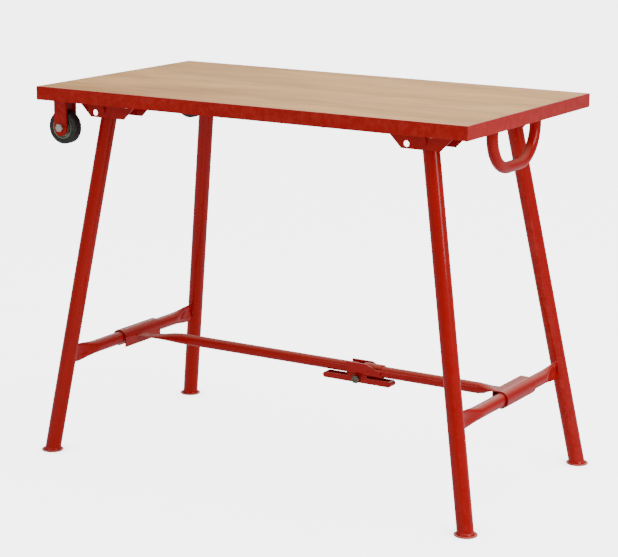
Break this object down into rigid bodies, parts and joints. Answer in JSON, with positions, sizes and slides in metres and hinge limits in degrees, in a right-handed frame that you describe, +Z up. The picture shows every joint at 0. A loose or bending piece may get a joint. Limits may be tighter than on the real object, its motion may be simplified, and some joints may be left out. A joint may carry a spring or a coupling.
{
  "type": "folding welding table",
  "caption": "Folding welding and fitting table with a wooden worktop in a red steel angle frame, splayed tubular legs, a hooked spreader stay, transport wheels and a carrying handle.",
  "frame": {"origin": "centre of the worktop's top face", "axes": "+X along the length towards the carrying handle, +Y to the back, +Z up"},
  "size_m": [1.1243, 0.616, 0.85],
  "materials": {
    "red_enamel": "gloss",
    "plywood": "smooth, unvarnished",
    "zinc": "zinc plated",
    "rim_steel": "yellow-green passivated",
    "tyre_rubber": "matt"
  },
  "bodies": {
    "worktop": {"worktop_board": "plywood", "frame_rail_front": "red_enamel", "frame_rail_rear": "red_enamel", "frame_rail_left": "red_enamel", "frame_rail_right": "red_enamel", "frame_screws": "zinc", "bracket_screws": "zinc", "fork_screws": "zinc", "handle_screws": "zinc", "leg_pivot_bolts": "red_enamel", "leg_pivot_nuts": "red_enamel", "pivot_bracket_front_left": "red_enamel", "pivot_bracket_rear_left": "red_enamel", "pivot_bracket_front_right": "red_enamel", "pivot_bracket_rear_right": "red_enamel", "wheel_fork_front": "red_enamel", "wheel_fork_rear": "red_enamel", "axle_bolts": "zinc", "axle_nuts": "zinc", "axle_sleeves": "zinc", "handle_tube": "red_enamel", "handle_plate": "red_enamel"},
    "left_leg_frame": {"leg_front_left": "red_enamel", "leg_rear_left": "red_enamel", "foot_front_left": "red_enamel", "foot_rear_left": "red_enamel", "pivot_sleeves_left": "red_enamel", "cross_brace_left": "red_enamel"},
    "right_leg_frame": {"leg_front_right": "red_enamel", "leg_rear_right": "red_enamel", "foot_front_right": "red_enamel", "foot_rear_right": "red_enamel", "pivot_sleeves_right": "red_enamel", "cross_brace_right": "red_enamel"},
    "left_stay": {"saddle_left": "red_enamel", "stay_tube_left": "red_enamel", "knee_cheek_front": "red_enamel", "knee_cheek_rear": "red_enamel", "knee_pin": "red_enamel", "lock_bar_lug": "red_enamel", "lock_bar_bolt": "zinc", "lock_bar_nut": "zinc"},
    "right_stay": {"saddle_right": "red_enamel", "stay_tube_right": "red_enamel"},
    "lock_bar": {"lock_bar": "red_enamel"},
    "front_wheel": {"wheel_tyre_front": "tyre_rubber", "wheel_rim_front": "rim_steel"},
    "rear_wheel": {"wheel_tyre_rear": "tyre_rubber", "wheel_rim_rear": "rim_steel"}
  },
  "joints": [
    {"name": "right_leg_fold", "type": "hinge", "parent": "worktop", "child": "right_leg_frame", "pos_m": [0.4006, 0, -0.05], "axis": [0, 1, 0], "range_deg": [0, 100.1]},
    {"name": "left_leg_fold", "type": "hinge", "parent": "worktop", "child": "left_leg_frame", "pos_m": [-0.4103, 0, -0.05], "axis": [0, -1, 0], "range_deg": [0, 88.8]},
    {"name": "right_stay_swing", "type": "hinge", "parent": "right_leg_frame", "child": "right_stay", "pos_m": [0.50697, 0, -0.625], "axis": [0, 1, 0], "range_deg": [0, 82.91]},
    {"name": "left_stay_swing", "type": "hinge", "parent": "left_leg_frame", "child": "left_stay", "pos_m": [-0.49324, 0, -0.625], "axis": [0, -1, 0], "range_deg": [-268.81, 0]},
    {"name": "lock_bar_rock", "type": "hinge", "parent": "left_stay", "child": "lock_bar", "pos_m": [0.1305, 0, -0.644], "axis": [0, 1, 0], "range_deg": [-2.5, 2.5]},
    {"name": "front_wheel_spin", "type": "hinge", "parent": "worktop", "child": "front_wheel", "pos_m": [-0.4967, -0.25, -0.094], "axis": [0, 1, 0], "continuous": true},
    {"name": "rear_wheel_spin", "type": "hinge", "parent": "worktop", "child": "rear_wheel", "pos_m": [-0.4967, 0.25, -0.094], "axis": [0, 1, 0], "continuous": true}
  ],
  "couplings": [
    {"joint": "right_stay_swing", "follows": "right_leg_fold", "ratio": 0.82817},
    {"joint": "left_stay_swing", "follows": "left_leg_fold", "ratio": -3.027}
  ]
}
